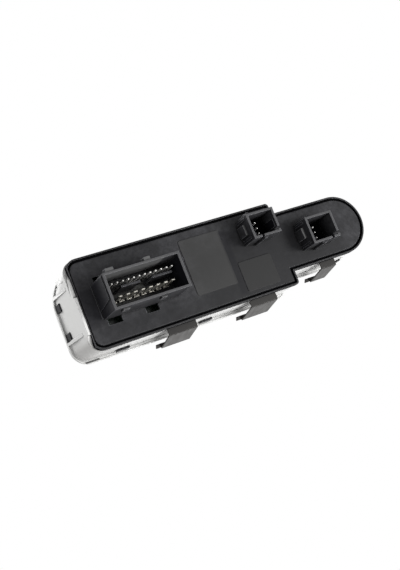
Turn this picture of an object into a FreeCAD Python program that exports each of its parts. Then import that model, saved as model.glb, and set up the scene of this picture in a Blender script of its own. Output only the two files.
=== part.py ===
import FreeCAD, Part
import math
import os

# Door-mounted control unit: window rockers, two push buttons and a mirror control
# in a pale bezel, a dark mechanism box inside it, and a dark rear cover with three
# connector shrouds. Millimetres. X runs along the unit from the wide square end to
# the round end. +Z is the side the driver touches; the connectors point to -Z.
# Working heights are measured from the rear edge of the rim and shifted at the end.

# Rear outline of the rim
LENGTH_LEFT = -73.9
STEP_X = 28.2
WIDE_HALF = 20.05
NARROW_LOW = -14.65
NARROW_HIGH = 13.70
END_RADIUS = (NARROW_HIGH - NARROW_LOW) / 2
END_Y = (NARROW_HIGH + NARROW_LOW) / 2
END_X = 59.7
CORNER_R = 5.5
STEP_R = 1.6

# Heights from the rim's rear edge
RIM_DEEP = 2.6
SEAT_Z = 1.6
WALL_START = 2.8
FLANGE_BACK = 19.8
FLANGE_FRONT = 21.8
FACE_BACK = 20.2
BOX_TOP = 19.6
DECK_LOW = 12.6
DECK_HIGH = 14.0
BOARD_LOW = 6.2
BOARD_HIGH = 7.8
MAT_HIGH = 8.6
DOME_HIGH = 10.4

# Bezel walls, measured inward from the rim outline
BEZEL_INSET = 0.2
BEZEL_WALL = 1.8
FLANGE_SIDE = 1.7
FLANGE_LEFT = 1.15
FLANGE_EDGE = 0.6
BEAD_WIDE = 0.45
BEAD_HIGH = 0.3
FLANGE_CORNER_LOW = 17.5
FLARE_ROUND_LOW = 10.5
FLARE_ROUND_HIGH = 0.8
FLANGE_CORNER_HIGH = 7.9
END_RIBS = ((-10.6, 1.5, 1.2, 4.6), (10.0, 1.4, 1.2, 4.2), (-13.6, 0.6, 0.35, 5.0))
GROOVE_SPANS = ((-66.0, -57.5), (-46.0, -41.6), (-24.0, -19.0), (17.2, 24.0))
GROOVE_Z = 5.6
GROOVE_WIDE = 0.6
GROOVE_DEEP = 0.3

# Leaning end wall of the bezel: its outer line at the lip, its lean and the lip itself
LEAN_X = -74.15
LEAN_FLARE = 2.75
LIP_Z = 0.9
LIP_TONGUE_Z = 0.15
LIP_HALF = 12.5
LIP_FAR = 17.4
LIP_TONGUE_LOW = -4.2
LIP_TONGUE_HIGH = 12.2
RIM_LEFT_IN = 0.95
LIP_GAP = 0.1

# Mechanism box and cover, measured inward from the rim outline
RIM_BAND = 0.7
RIM_SOFT = 0.2
COVER_GAP = 1.05
BOX_INSET = 3.05
BOX_WALL = 1.7
BOARD_GAP = 0.3
MAT_GAP = 0.9

# Cover plate
COVER_REAR = 0.2
COVER_EDGE = 0.4
PAD_RISE = 0.25
PAD_CORNER = 1.0
PADS = ((-21.6, -1.2, -14.6, 11.0), (2.2, 19.4, 2.4, 16.4))
HOOK_X = (-60.0, -25.0, 12.0)
HOOK_WIDE = 6.0
HOOK_THICK = 1.1
HOOK_END = 5.2
HOOK_GAP = 0.25

# Large connector shroud: corners in the plate, rim height, wall and floor
BIG_X0 = -65.1
BIG_X1 = -30.0
BIG_Y0 = -7.5
BIG_Y1 = 8.2
BIG_RIM = -16.0
SHROUD_WALL = 1.0
SHROUD_FLOOR = 0.6
BIG_PIN_TIP = -11.0
SMALL_PIN_TIP = -6.0

# Slots, tabs and stepped end wall of the large shroud, along X from its end wall
BIG_SLOTS = ((1.0, 7.5, 2.95), (18.5, 24.7, 3.2))
BIG_BACK_SLOT = (1.1, 4.7, 2.7)
BIG_TABS_LOW = ((1.9, 3.6), (19.4, 2.8))
BIG_TABS_HIGH = ((4.2, 3.0), (21.8, 2.4))
TAB_OUT = 1.6
TAB_DOWN = 0.4
TAB_DEEP = 3.6
TAB_FRAME = 0.7
TAB_SUNK = 0.7
STEP_RIM_Y = 3.1
STEP_BASE_Y = 4.8
STEP_OUT = 0.45
PLINTH_OUT = 1.0
PLINTH_HIGH = 0.5

# Small shrouds
ONE_X0 = 9.0
ONE_X1 = 23.0
ONE_Y0 = -15.45
ONE_Y1 = -3.65
TWO_X0 = 36.7
TWO_X1 = 51.3
TWO_Y0 = -6.3
TWO_Y1 = 6.4
ONE_LATCH_X = ONE_X0 + 4.6
TWO_LATCH_X = TWO_X0 + 10.8
LATCH_WIDE = 1.3
LATCH_DEEP = 3.4
SMALL_RIM = -11.0

# Terminals
PIN_PITCH = 2.54
PIN_COUNT = 12
PIN_SIDE = 0.64
PIN_X0 = -60.8
PIN_Y = -3.2
BLADE_PITCH = 3.5
BLADE_COUNT = 8
BLADE_WIDE = 1.5
BLADE_THICK = 0.64
BLADE_X0 = -59.1
BLADE_Y = 2.65
PIN_RELIEF = 1.2
SMALL_PITCH = 2.5
SMALL_COUNT = 3
ONE_PIN_X = 14.8
ONE_PIN_Y0 = -11.5
TWO_PIN_X = 42.3
TWO_PIN_Y0 = -1.8
PIN_FIT = 0.04
PIN_BOARD_END = 9.6
PIN_POINT = 0.18
SHOULDER_WIDE = 2.3
SHOULDER_THICK = 1.3
SHOULDER_HIGH = 1.5
DIVIDER_SPANS = ((-57.4, -48.8), (-43.1, -34.0))
DIVIDER_Y = -1.0
DIVIDER_THICK = 0.8

# Spring clips: start along X, width, outward reach of the shelf
CLIP_T = 0.5
CLIP_SHELF = 2.8
CLIP_FLARE = 2.9
CLIP_LEG = 13.6
CLIP_NECK = 1.9
CLIP_LIP = 1.15
CLIP_EAR = 1.5
CLIP_A_X = -39.8
CLIP_B_X = 2.0
CLIP_WIDE = 14.0
CLIP_C_X = 43.8
CLIP_NARROW = 8.4
CLIP_Z = 2.75
CLIP_INNER = 8.0
NOTCH_GAP = 0.3

# Moulded hooks of the bezel on the side away from the clips
PANEL_THICK = 2.6
CATCH_OUT = 1.7
CATCH_RAMP = 5.6
CATCH_LAND = 0.7
CATCH_WIDE = 8.0

# Rockers
ROCKER_X = (-50.0, -20.0)
ROCKER_LONG = 23.0
ROCKER_SIDE_GAP = 0.3
ROCKER_END_GAP = 1.2
WEB_HALF = 1.5
WALL_INNER = WIDE_HALF - BOX_INSET - BOX_WALL
ROCKER_Y = (WALL_INNER + WEB_HALF) / 2
ROCKER_WIDE = WALL_INNER - WEB_HALF - 2 * ROCKER_SIDE_GAP
ROCKER_WALL = 1.3
ROCKER_EDGE = 0.4
ROCKER_REAR_TOP = 24.0
ROCKER_DIP = 23.0
ROCKER_FRONT_TOP = 26.2
ROCKER_AXIS_Z = 17.5
ROCKER_SWING = 7.0
PIVOT_R = 1.2
PIVOT_CLEAR = 0.06
PIVOT_LONG = 1.6
FOOT_IN = 4.0
FOOT_X = ROCKER_LONG / 2 - FOOT_IN
FOOT_SIDE = 2.4
FOOT_TIP = 11.5
FOOT_HOLE = 4.8

# Push buttons
BUTTON_X = 7.0
BUTTON_LONG = 14.0
BUTTON_TOP = 24.2
BUTTON_STEM = 4.0
BUTTON_TRAVEL = 1.0
BUTTON_TIP = 11.6
BUTTON_LOW = 18.2
BUTTON_DISH = 0.5
BUTTON_WALL = 1.3
GUIDE_CLEAR = 0.15
GUIDE_WALL = 1.0
GUIDE_TOP = 16.4

# Mirror control at the round end
RING_R = 10.5
RING_TOP = 25.4
RING_LOW = 17.4
RING_SKIRT_R = 9.1
RING_EDGE = 0.6
GRIP_COUNT = 24
GROOVE_IN = 0.3
POST_R = 7.42
POST_CLEAR = 0.08
POST_IN = 6.2
POST_TOP = 21.5
PAD_R = 6.9
PAD_LOW = 23.1
PAD_TOP = 27.4
PAD_EDGE = 0.8
PAD_DISH = 0.5
PAD_WALL = 1.3
PAD_ARM = 4.3
STEM_R = 2.4
TILT_Z = 17.0
GIMBAL_IN = 3.6
GIMBAL_OUT = 5.4
GIMBAL_HALF = 1.4
GIMBAL_PIN_R = 0.8

# Lugs of the box that snap into windows of the bezel
LUG_FIT = 0.2
LUG_LOW = 15.0
LUG_HIGH = 18.2
LUG_OUT = 1.0
LUG_WIDE = 5.8
LUG_X = (-56.6, -15.2)
END_LUG_Y = (-4.9, 8.3)
END_LUG_WIDE = 3.4
END_LUG_LOW = 15.5
END_LUG_HIGH = 19.4
END_LUG_OUT = 0.6
ROUND_LUG_X = 62.5
ROUND_LUG_WIDE = 2.0
ROUND_LUG_OUT = 0.6

# Screws that hold the board to the box
SCREW_SPOTS = ((-66.0, 0.0), (-35.0, 0.0), (-4.5, 0.0), (18.2, 10.6), (36.0, -4.6))
SCREW_R = 1.1
SCREW_HEAD_R = 2.0
SCREW_FIT = 0.05
BOSS_R = 2.3

# Parts on the board
CAN_R = 2.2
CAN_HIGH = 3.6
CAN_SPOTS = ((-16.5, 1), (-9.5, 1), (-3.0, -1))
LAMP_X = (-28.5, -10.0, 7.0)
LAMP_Y = 3.6
LAMP_GAP = 0.1
LAMP_HIGH = 0.8
BAR_GAP = 0.3
BAR_HIGH = 2.2
BAR_SPAN = (-62.0, 12.0)

# Shift that puts the middle of the whole unit at the origin
X_LOW = LEAN_X - LEAN_FLARE - FLANGE_LEFT
X_HIGH = END_X + END_RADIUS - BEZEL_INSET + FLANGE_SIDE
Y_LOW = -WIDE_HALF + BEZEL_INSET - FLANGE_SIDE
Y_HIGH = WIDE_HALF + CLIP_SHELF + CLIP_FLARE
Z_LOW = BIG_RIM
Z_HIGH = PAD_TOP
MOVE_X = -(X_LOW + X_HIGH) / 2
MOVE_Y = -(Y_LOW + Y_HIGH) / 2
MOVE_Z = -(Z_LOW + Z_HIGH) / 2


def vec(x, y, z):
    return FreeCAD.Vector(x, y, z)


def box(x0, x1, y0, y1, z0, z1):
    return Part.makeBox(x1 - x0, y1 - y0, z1 - z0, vec(x0, y0, z0))


def cyl(r, x, y, z0, z1):
    return Part.makeCylinder(r, z1 - z0, vec(x, y, z0), vec(0, 0, 1))


def cyl_y(r, x, y0, y1, z):
    return Part.makeCylinder(r, y1 - y0, vec(x, y0, z), vec(0, 1, 0))


def cyl_x(r, x0, x1, y, z):
    return Part.makeCylinder(r, x1 - x0, vec(x0, y, z), vec(1, 0, 0))


def fuse(shapes):
    shape = shapes[0].fuse(shapes[1:]) if len(shapes) > 1 else shapes[0]
    return shape.removeSplitter()


def cut(shape, tools):
    return shape.cut(tools) if tools else shape


def round_box(x0, x1, y0, y1, z0, z1, r):
    body = box(x0, x1, y0, y1, z0, z1)
    return body.makeFillet(r, upright_edges(body))


def upright_edges(body):
    found = []
    for edge in body.Edges:
        a = edge.Vertexes[0].Point
        b = edge.Vertexes[-1].Point
        if abs(a.x - b.x) < 1e-6 and abs(a.y - b.y) < 1e-6:
            found.append(edge)
    return found


def edges_at(body, z):
    found = []
    for edge in body.Edges:
        if abs(edge.BoundBox.ZMin - z) < 1e-4 and abs(edge.BoundBox.ZMax - z) < 1e-4:
            found.append(edge)
    return found


def wide_part(inset, z0, z1):
    x0 = LENGTH_LEFT + inset
    x1 = STEP_X - inset
    half = WIDE_HALF - inset
    body = box(x0, x1, -half, half, z0, z1)
    left = []
    right = []
    for edge in upright_edges(body):
        if edge.Vertexes[0].Point.x < 0:
            left.append(edge)
        else:
            right.append(edge)
    r_left = max(CORNER_R - inset, 0.5)
    r_right = max(STEP_R - inset, 0.4)
    body = body.makeFillet(r_left, left)
    right = [e for e in upright_edges(body) if e.Vertexes[0].Point.x > x1 - 0.01]
    return body.makeFillet(r_right, right)


def outline(inset, z0, z1):
    """Prism of the stepped plate outline, moved inward by inset."""
    wide = wide_part(inset, z0, z1)
    neck = box(0, END_X, NARROW_LOW + inset, NARROW_HIGH - inset, z0, z1)
    end = cyl(END_RADIUS - inset, END_X, END_Y, z0, z1)
    return fuse([wide, neck, end])


def end_wire(x_left, half, r_low, r_high, z):
    """Closed wire of the wide end with its two left corners rounded."""
    xr = x_left + 2 * half
    a = r_low * (1 - math.sqrt(0.5))
    b = r_high * (1 - math.sqrt(0.5))
    p = [vec(xr, -half, z), vec(x_left + r_low, -half, z), vec(x_left, -half + r_low, z),
         vec(x_left, half - r_high, z), vec(x_left + r_high, half, z), vec(xr, half, z)]
    low = Part.Arc(p[1], vec(x_left + a, -half + a, z), p[2]).toShape()
    high = Part.Arc(p[3], vec(x_left + b, half - b, z), p[4]).toShape()
    parts = [Part.makeLine(p[0], p[1]), low, Part.makeLine(p[2], p[3]), high,
             Part.makeLine(p[4], p[5]), Part.makeLine(p[5], p[0])]
    return Part.Wire(parts)


def flared_end(inset, z0, z1):
    """The wide end, its left wall leaning outward towards the front."""
    half = WIDE_HALF - inset
    r = CORNER_R - inset
    first = wall_x(z0) + inset - BEZEL_INSET
    last = wall_x(z1) + inset - BEZEL_INSET
    wires = [end_wire(first, half, r, r, z0),
             end_wire(last, half, r + FLARE_ROUND_LOW, r + FLARE_ROUND_HIGH, z1)]
    return Part.makeLoft(wires, True, True)


def wall_x(z):
    """Outer face of the leaning end wall at height z."""
    return LEAN_X - LEAN_FLARE * z / FLANGE_BACK


def end_lip():
    """Thin rear lip of the leaning wall, which covers the end of the box rim."""
    inner = LENGTH_LEFT + RIM_LEFT_IN - LIP_GAP
    top = WALL_START + 0.3
    block = flared_end(BEZEL_INSET, LIP_TONGUE_Z, top)
    points = [vec(X_LOW - 5, -LIP_FAR, top), vec(X_LOW - 5, -LIP_HALF, LIP_Z),
              vec(X_LOW - 5, LIP_HALF, LIP_Z), vec(X_LOW - 5, LIP_FAR, top),
              vec(X_LOW - 5, -LIP_FAR, top)]
    keep = Part.Face(Part.makePolygon(points)).extrude(vec(inner - X_LOW + 5, 0, 0))
    tongue = box(X_LOW - 5, inner, LIP_TONGUE_LOW, LIP_TONGUE_HIGH, LIP_TONGUE_Z, LIP_Z + 0.1)
    return block.common(keep.fuse(tongue))


def bezel_shell():
    inner = BEZEL_INSET + BEZEL_WALL
    outside = fuse([outline(BEZEL_INSET, WALL_START, FLANGE_FRONT),
                    flared_end(BEZEL_INSET, WALL_START, FLANGE_FRONT)])
    inside = fuse([outline(inner, WALL_START - 1, FACE_BACK),
                   flared_end(inner, WALL_START - 0.001, FACE_BACK)])
    return outside.cut(inside)


def flange_slab(shrink, z0, z1):
    """Solid outline of the flange, drawn in by shrink all round."""
    out = BEZEL_INSET - FLANGE_SIDE + shrink
    plate = outline(out, z0, z1)
    left = X_LOW + shrink
    half = WIDE_HALF - out
    wire = end_wire(left, half, FLANGE_CORNER_LOW - shrink, FLANGE_CORNER_HIGH - shrink, z0)
    end = Part.Face(wire).extrude(vec(0, 0, z1 - z0))
    join = left + 2 * half - 1
    trimmed = plate.cut(box(left - 10, join, -2 * half, 2 * half, z0 - 1, z1 + 1))
    return fuse([trimmed, end])


def bearing_bead():
    """Low bead along the flange's edge; only this bead bears on the panel."""
    low = FLANGE_BACK - BEAD_HIGH
    high = FLANGE_BACK + BEAD_HIGH
    return flange_slab(0, low, high).cut(flange_slab(BEAD_WIDE, low - 1, high + 1))


def flange_plate():
    plate = flange_slab(0, FLANGE_BACK, FLANGE_FRONT)
    plate = plate.makeChamfer(FLANGE_EDGE, edges_at(plate, FLANGE_FRONT))
    plate = plate.fuse(bearing_bead()).removeSplitter()
    hole = fuse([outline(BEZEL_INSET + 0.5, FLANGE_BACK - 1, FLANGE_FRONT + 1),
                 flared_end(BEZEL_INSET + 0.5, FLANGE_BACK, FACE_BACK)])
    far = 3 * WIDE_HALF + END_X
    lid_cut = hole.common(box(-far, far, -far, far, FLANGE_BACK - 1, FACE_BACK))
    return plate.cut(lid_cut)


def front_openings():
    tools = []
    for x in ROCKER_X:
        half = ROCKER_LONG / 2 + ROCKER_END_GAP
        for side in (-1, 1):
            y = side * ROCKER_Y
            wide = ROCKER_WIDE / 2 + ROCKER_SIDE_GAP
            tools.append(round_box(x - half, x + half, y - wide, y + wide, FACE_BACK - 1,
                                   FLANGE_FRONT + 1, 1.0))
    for side in (-1, 1):
        y = side * ROCKER_Y
        half = BUTTON_LONG / 2 + ROCKER_SIDE_GAP
        wide = ROCKER_WIDE / 2 + ROCKER_SIDE_GAP
        tools.append(round_box(BUTTON_X - half, BUTTON_X + half, y - wide, y + wide,
                               FACE_BACK - 1, FLANGE_FRONT + 1, 1.0))
    tools.append(cyl(RING_R + ROCKER_SIDE_GAP, END_X, END_Y, FACE_BACK - 1, FLANGE_FRONT + 1))
    return tools


def lug_windows():
    tools = []
    low = LUG_LOW - LUG_FIT
    high = LUG_HIGH + LUG_FIT
    half = LUG_WIDE / 2 + LUG_FIT
    reach = BEZEL_WALL * 2
    for x in LUG_X:
        for edge in (-WIDE_HALF, WIDE_HALF):
            tools.append(box(x - half, x + half, edge - reach, edge + reach, low, high))
    wide = ROUND_LUG_WIDE / 2 + LUG_FIT
    for edge in (NARROW_LOW, NARROW_HIGH):
        tools.append(box(ROUND_LUG_X - wide, ROUND_LUG_X + wide, edge - reach, edge + reach,
                         low, high))
    wide = END_LUG_WIDE / 2 + LUG_FIT
    for y in END_LUG_Y:
        tools.append(box(X_LOW, wall_x(FLANGE_BACK) + reach, y - wide, y + wide,
                         END_LUG_LOW - LUG_FIT, END_LUG_HIGH + LUG_FIT))
    return tools


def clip_notches():
    """Cuts in the rear edge of the bezel wall where the clips sit astride it."""
    tools = []
    deep = CLIP_Z + CLIP_T + NOTCH_GAP / 3
    for x, wide, low, high in clip_places():
        tools.append(box(x - NOTCH_GAP, x + wide + NOTCH_GAP, high - 2 * BEZEL_WALL, high + 1,
                         WALL_START - 1, deep))
    return tools


def clip_places():
    return [(CLIP_A_X, CLIP_WIDE, -WIDE_HALF, WIDE_HALF),
            (CLIP_B_X, CLIP_WIDE, -WIDE_HALF, WIDE_HALF),
            (CLIP_C_X, CLIP_NARROW, NARROW_LOW, NARROW_HIGH)]


def catch(x, edge):
    """Wedge hook on the low long wall: the panel edge sits between it and the flange."""
    wall = edge + BEZEL_INSET
    out = wall - CATCH_OUT
    top = FLANGE_BACK - PANEL_THICK
    points = [vec(x, wall + 0.6, top - CATCH_RAMP), vec(x, wall, top - CATCH_RAMP),
              vec(x, out, top - CATCH_LAND), vec(x, out, top), vec(x, wall + 0.6, top),
              vec(x, wall + 0.6, top - CATCH_RAMP)]
    return Part.Face(Part.makePolygon(points)).extrude(vec(CATCH_WIDE, 0, 0))


def catches():
    return [catch(x + (wide - CATCH_WIDE) / 2, low) for x, wide, low, high in clip_places()]


def end_rib(y, wide, rise, z0):
    """Rib on the leaning end wall, growing towards the flange."""
    points = [vec(wall_x(z0) + 0.6, y, z0), vec(wall_x(z0) - 0.25, y, z0 + 0.4),
              vec(wall_x(FLANGE_BACK) - rise, y, FLANGE_BACK),
              vec(wall_x(FLANGE_BACK) + 0.6, y, FLANGE_BACK), vec(wall_x(z0) + 0.6, y, z0)]
    face = Part.Face(Part.makePolygon(points))
    return face.extrude(vec(0, wide, 0))


def make_bezel():
    ribs = [end_rib(y, wide, rise, z0) for y, wide, rise, z0 in END_RIBS]
    body = fuse([bezel_shell(), flange_plate(), end_lip()] + ribs + catches())
    return cut(body, front_openings() + lug_windows() + clip_notches() + wall_grooves())


def wall_grooves():
    """Shallow grooves along the long walls of the wide part."""
    tools = []
    face = WIDE_HALF - BEZEL_INSET
    for x0, x1 in GROOVE_SPANS:
        tools.append(box(x0, x1, face - GROOVE_DEEP, face + 1, GROOVE_Z, GROOVE_Z + GROOVE_WIDE))
        tools.append(box(x0, x1, -face - 1, GROOVE_DEEP - face, GROOVE_Z, GROOVE_Z + GROOVE_WIDE))
    return tools


def rim_and_walls():
    rim = outline(0, 0, RIM_DEEP)
    rim = rim.makeFillet(RIM_SOFT, edges_at(rim, 0))
    far = 2 * WIDE_HALF
    rim = rim.cut(box(X_LOW, LENGTH_LEFT + RIM_LEFT_IN, -far, far, -1, RIM_DEEP + 1))
    recess = outline(RIM_BAND, -1, SEAT_Z).cut(box(X_LOW, LENGTH_LEFT + RIM_LEFT_IN + RIM_BAND / 2,
                                                  -far, far, -2, SEAT_Z + 1))
    box_out = outline(BOX_INSET, SEAT_Z, BOX_TOP)
    box_in = outline(BOX_INSET + BOX_WALL, -1, BOX_TOP + 1)
    shell = fuse([rim.cut(recess), box_out]).cut(box_in)
    return shell


def deck():
    plate = outline(BOX_INSET + 0.5, DECK_LOW, DECK_HIGH)
    return plate


def deck_holes():
    tools = []
    for x in ROCKER_X:
        for side in (-1, 1):
            for foot in (-FOOT_X, FOOT_X):
                y = side * ROCKER_Y
                h = FOOT_HOLE / 2
                w = FOOT_SIDE / 2 + 0.6
                tools.append(box(x + foot - h, x + foot + h, y - w, y + w,
                                 DECK_LOW - 0.6, DECK_HIGH + 1))
    for side in (-1, 1):
        h = BUTTON_STEM / 2 + GUIDE_CLEAR
        y = side * ROCKER_Y
        tools.append(box(BUTTON_X - h, BUTTON_X + h, y - h, y + h, DECK_LOW - 0.6, GUIDE_TOP + 1))
    tools.append(cyl(POST_IN, END_X, END_Y, DECK_LOW - 0.6, POST_TOP + 1))
    return tools


def button_guides():
    parts = []
    for side in (-1, 1):
        h = BUTTON_STEM / 2 + GUIDE_CLEAR + GUIDE_WALL
        y = side * ROCKER_Y
        parts.append(box(BUTTON_X - h, BUTTON_X + h, y - h, y + h, DECK_HIGH - 0.5, GUIDE_TOP))
    return parts


def centre_web():
    x0 = ROCKER_X[0] - ROCKER_LONG / 2 - 2.5
    x1 = ROCKER_X[1] + ROCKER_LONG / 2 + 2.5
    return box(x0, x1, -WEB_HALF, WEB_HALF, DECK_HIGH - 0.5, BOX_TOP)


def pivot_holes():
    tools = []
    r = PIVOT_R + PIVOT_CLEAR
    for x in ROCKER_X:
        tools.append(cyl_y(r, x, -2 * WEB_HALF, 2 * WEB_HALF, ROCKER_AXIS_Z))
        tools.append(cyl_y(r, x, WALL_INNER - 1, WALL_INNER + BOX_WALL + 1, ROCKER_AXIS_Z))
        tools.append(cyl_y(r, x, -WALL_INNER - BOX_WALL - 1, 1 - WALL_INNER, ROCKER_AXIS_Z))
    return tools


def box_lugs():
    parts = []
    out = WIDE_HALF - BEZEL_INSET + LUG_OUT
    back = WIDE_HALF - BOX_INSET - 0.5
    half = LUG_WIDE / 2
    for x in LUG_X:
        parts.append(box(x - half, x + half, back, out, LUG_LOW, LUG_HIGH))
        parts.append(box(x - half, x + half, -out, -back, LUG_LOW, LUG_HIGH))
    x = ROUND_LUG_X
    half = ROUND_LUG_WIDE / 2
    high = NARROW_HIGH - BEZEL_INSET
    low = NARROW_LOW + BEZEL_INSET
    deep = BOX_INSET - BEZEL_INSET + 0.5
    out = ROUND_LUG_OUT
    parts.append(box(x - half, x + half, high - deep, high + out, LUG_LOW, LUG_HIGH))
    parts.append(box(x - half, x + half, low - out, low + deep, LUG_LOW, LUG_HIGH))
    for y in END_LUG_Y:
        parts.append(end_lug(y))
    return parts


def end_lug(y):
    wide = END_LUG_WIDE / 2
    inner = LENGTH_LEFT + BOX_INSET + 0.5
    low = wall_x(END_LUG_LOW) - END_LUG_OUT
    high = wall_x(END_LUG_HIGH) - END_LUG_OUT
    points = [vec(inner, y - wide, END_LUG_LOW), vec(low, y - wide, END_LUG_LOW),
              vec(high, y - wide, END_LUG_HIGH), vec(inner, y - wide, END_LUG_HIGH),
              vec(inner, y - wide, END_LUG_LOW)]
    return Part.Face(Part.makePolygon(points)).extrude(vec(0, END_LUG_WIDE, 0))


def screw_bosses():
    return [cyl(BOSS_R, x, y, BOARD_HIGH, DECK_LOW + 0.5) for x, y in SCREW_SPOTS]


def screw_holes():
    return [cyl(SCREW_R + SCREW_FIT, x, y, BOARD_HIGH - 1, DECK_LOW) for x, y in SCREW_SPOTS]


def mirror_post():
    return cyl(POST_R, END_X, END_Y, DECK_HIGH - 0.5, POST_TOP)


def make_box():
    body = fuse([rim_and_walls(), deck(), centre_web(), mirror_post()] + button_guides()
                + box_lugs() + screw_bosses())
    tools = deck_holes() + pivot_holes() + screw_holes()
    pin = GIMBAL_PIN_R + PIVOT_CLEAR
    tools.append(cyl_x(pin, END_X - POST_R - 1, END_X + POST_R + 1, END_Y, TILT_Z))
    return cut(body, tools)


def shroud(x0, x1, y0, y1, rim):
    return box(x0, x1, y0, y1, rim, SEAT_Z)


def shroud_room(x0, x1, y0, y1, rim):
    w = SHROUD_WALL
    return box(x0 + w, x1 - w, y0 + w, y1 - w, rim - 1, SHROUD_FLOOR)


def cover_slots():
    """Openings beside the shrouds where the plug latches and mould cores come through."""
    low = COVER_REAR - 1
    high = SEAT_Z + 1
    tools = []
    for x0, x1, deep in BIG_SLOTS:
        tools.append(box(BIG_X0 + x0, BIG_X0 + x1, BIG_Y1, BIG_Y1 + deep, low, high))
    x0, x1, deep = BIG_BACK_SLOT
    tools.append(box(BIG_X0 + x0, BIG_X0 + x1, BIG_Y0 - deep, BIG_Y0, low, high))
    return tools


def dividers():
    """Two thin walls on the socket floor between the rows of terminals."""
    a = DIVIDER_Y - DIVIDER_THICK / 2
    b = DIVIDER_Y + DIVIDER_THICK / 2
    return [box(x0, x1, a, b, BIG_PIN_TIP, SHROUD_FLOOR + 0.2) for x0, x1 in DIVIDER_SPANS]


def big_shroud_tabs():
    """Small locking tabs around the outside of the large shroud."""
    parts = []
    for x, wide in BIG_TABS_LOW:
        parts.append(box(BIG_X0 + x, BIG_X0 + x + wide, BIG_Y0 - TAB_OUT, BIG_Y0 + 0.3,
                         BIG_RIM + TAB_DOWN, BIG_RIM + TAB_DOWN + TAB_DEEP))
    for x, wide in BIG_TABS_HIGH:
        parts.append(framed_tab(BIG_X0 + x, BIG_X0 + x + wide))
    parts.append(box(BIG_X1 - 0.3, BIG_X1 + 0.8, BIG_Y0 + 2.9, BIG_Y0 + 4.6,
                     BIG_RIM + TAB_DOWN, BIG_RIM + TAB_DOWN + TAB_DEEP))
    plinth = box(BIG_X0 - PLINTH_OUT, BIG_X0 + 0.3, BIG_Y0 + 0.4, BIG_Y1 - 0.4,
                 COVER_REAR - PLINTH_HIGH, COVER_REAR + 0.4)
    return parts + [end_panel(), plinth]


def framed_tab(x0, x1):
    """Square tab with a sunk middle on the high side of the large shroud."""
    face = BIG_Y1 + TAB_OUT / 2
    low = BIG_RIM + TAB_DOWN + 2
    high = low + TAB_DEEP
    sunk = box(x0 + TAB_FRAME, x1 - TAB_FRAME, face - TAB_SUNK, face + 1, low + TAB_FRAME,
               high - TAB_FRAME)
    return box(x0, x1, BIG_Y1 - 0.3, face, low, high).cut(sunk)


def end_panel():
    """Thicker part of the large shroud's end wall, which stops along a slanted step."""
    x = BIG_X0 + 0.3
    points = [vec(x, BIG_Y0 + 0.6, BIG_RIM + 1.2), vec(x, STEP_RIM_Y, BIG_RIM + 1.2),
              vec(x, STEP_BASE_Y, SEAT_Z - 0.4), vec(x, BIG_Y0 + 0.6, SEAT_Z - 0.4),
              vec(x, BIG_Y0 + 0.6, BIG_RIM + 1.2)]
    return Part.Face(Part.makePolygon(points)).extrude(vec(-0.3 - STEP_OUT, 0, 0))


def small_shroud_keys(x0, x1, y0, y1):
    """Guide ribs around the outside of a small shroud."""
    mid = (x0 + x1) / 2
    return [box(x0 - 0.9, x0 + 0.3, y0 + 3.4, y0 + 8.4, SMALL_RIM + 4.6, COVER_REAR - 0.4),
            box(x0 - 0.35, x0 + 0.3, y0 + 0.8, y0 + 2.0, SMALL_RIM + 2.4, COVER_REAR + 0.4),
            box(x0 - 0.35, x0 + 0.3, y1 - 2.2, y1 - 1.0, SMALL_RIM + 2.4, COVER_REAR + 0.4),
            box(mid - 1.9, mid - 0.7, y1 - 0.3, y1 + 1.1, SMALL_RIM + 0.6, COVER_REAR + 0.4),
            box(mid - 2.7, mid + 0.1, y1 - 0.3, y1 + 0.6, SMALL_RIM + 0.6, SMALL_RIM + 1.8),
            box(x0 + 1.6, x0 + 2.8, y0 - 1.0, y0 + 0.3, SMALL_RIM + 2.0, SMALL_RIM + 8.0)]


def small_latch_cuts(x1, y1, latch_x):
    """Latch gap through the high side wall and a notch near the end of the right wall."""
    low = SMALL_RIM - 1
    half = LATCH_WIDE / 2
    return [box(latch_x - half, latch_x + half, y1 - SHROUD_WALL - 0.1, y1 + 2, low,
                SMALL_RIM + LATCH_DEEP),
            box(x1 - SHROUD_WALL - 0.1, x1 + 1, y1 - SHROUD_WALL - 1.6, y1 - SHROUD_WALL - 0.4, low,
                SMALL_RIM + LATCH_DEEP)]


def small_inner_keys(x0, y1):
    """Polarising key in the corner of a small socket."""
    w = SHROUD_WALL
    return box(x0 + w - 0.1, x0 + w + 0.7, y1 - w - 1.9, y1 - w - 0.7, SMALL_RIM + 0.4,
               SHROUD_FLOOR + 0.1)


def inner_ledge():
    """Guide rib along the right wall inside the first small socket."""
    x = ONE_X1 - SHROUD_WALL
    y = ONE_Y1 - SHROUD_WALL
    return box(x - 0.7, x + 0.1, ONE_Y0 + 5.0, y - 1.9, SMALL_RIM + 0.9, SHROUD_FLOOR + 0.1)


def cover_plate():
    inset = RIM_BAND + COVER_GAP
    plate = outline(inset, COVER_REAR, SEAT_Z)
    plate = plate.makeFillet(COVER_EDGE, edges_at(plate, COVER_REAR))
    pads = [round_box(x0, x1, y0, y1, COVER_REAR - PAD_RISE, SEAT_Z - 0.4, PAD_CORNER)
            for x0, x1, y0, y1 in PADS]
    return fuse([plate] + pads)


def cover_hooks():
    """Hooks on the inside of the cover that grip the box walls."""
    parts = []
    y = WALL_INNER - HOOK_GAP
    half = HOOK_WIDE / 2
    for x in HOOK_X:
        parts.append(box(x - half, x + half, y - HOOK_THICK, y, SEAT_Z - 0.4, HOOK_END))
        parts.append(box(x - half, x + half, -y, -y + HOOK_THICK, SEAT_Z - 0.4, HOOK_END))
    return parts


def terminals(side, wide, x0, y0, dx, dy, count, tip, grow):
    parts = []
    for i in range(count):
        x = x0 + i * dx
        y = y0 + i * dy
        a = wide / 2 + grow
        b = side / 2 + grow
        parts.append(box(x - a, x + a, y - b, y + b, tip, PIN_BOARD_END + grow))
    return parts


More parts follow.
